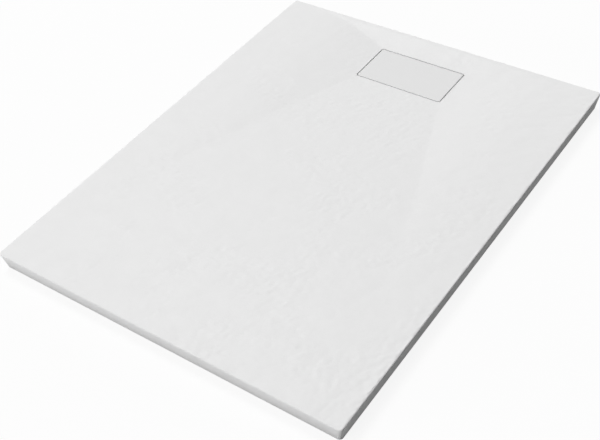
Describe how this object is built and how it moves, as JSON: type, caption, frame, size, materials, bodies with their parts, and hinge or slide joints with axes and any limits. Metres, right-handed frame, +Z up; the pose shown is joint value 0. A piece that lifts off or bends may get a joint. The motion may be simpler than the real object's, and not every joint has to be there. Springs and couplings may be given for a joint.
{
  "type": "shower tray",
  "caption": "Low rectangular shower tray cast in white slate-textured resin, with falls to a recessed outlet near one short edge under a loose flush cover.",
  "frame": {"origin": "middle of the underside, on the floor plane under the tray's centre", "axes": "+Z up; +Y along the tray towards the outlet end; +X to the right when facing the outlet end"},
  "size_m": [0.7, 0.9, 0.034],
  "materials": {
    "tray_moulding": "matt white gel coat on a mineral-filled casting with a faint split-slate relief",
    "cover_paint": "fine matt white powder coat",
    "pad_rubber": "matt",
    "flange_steel": "pressed and brushed",
    "gasket_rubber": "matt",
    "clamp_plastic": "moulded polypropylene",
    "screw_steel": "stainless",
    "strainer_plastic": "grey moulded polypropylene"
  },
  "bodies": {
    "tray": {"tray_shell": "tray_moulding", "waste_flange": "flange_steel", "flange_gasket": "gasket_rubber", "clamp_gasket": "gasket_rubber", "clamp_body": "clamp_plastic", "flange_screws": "screw_steel"},
    "cover": {"cover_plate": "cover_paint", "cover_pad_near_left": "pad_rubber", "cover_pad_near_right": "pad_rubber", "cover_pad_far_left": "pad_rubber", "cover_pad_far_right": "pad_rubber"},
    "strainer": {"hair_strainer": "strainer_plastic"}
  },
  "joints": [
    {"name": "cover_lift", "type": "slide", "parent": "tray", "child": "cover", "axis": [0, 0, 1], "range_m": [0, 0.12]},
    {"name": "strainer_lift", "type": "slide", "parent": "tray", "child": "strainer", "axis": [0, 0, 1], "range_m": [0, 0.06]}
  ],
  "couplings": [
    {"joint": "strainer_lift", "follows": "cover_lift", "ratio": 0.5}
  ]
}
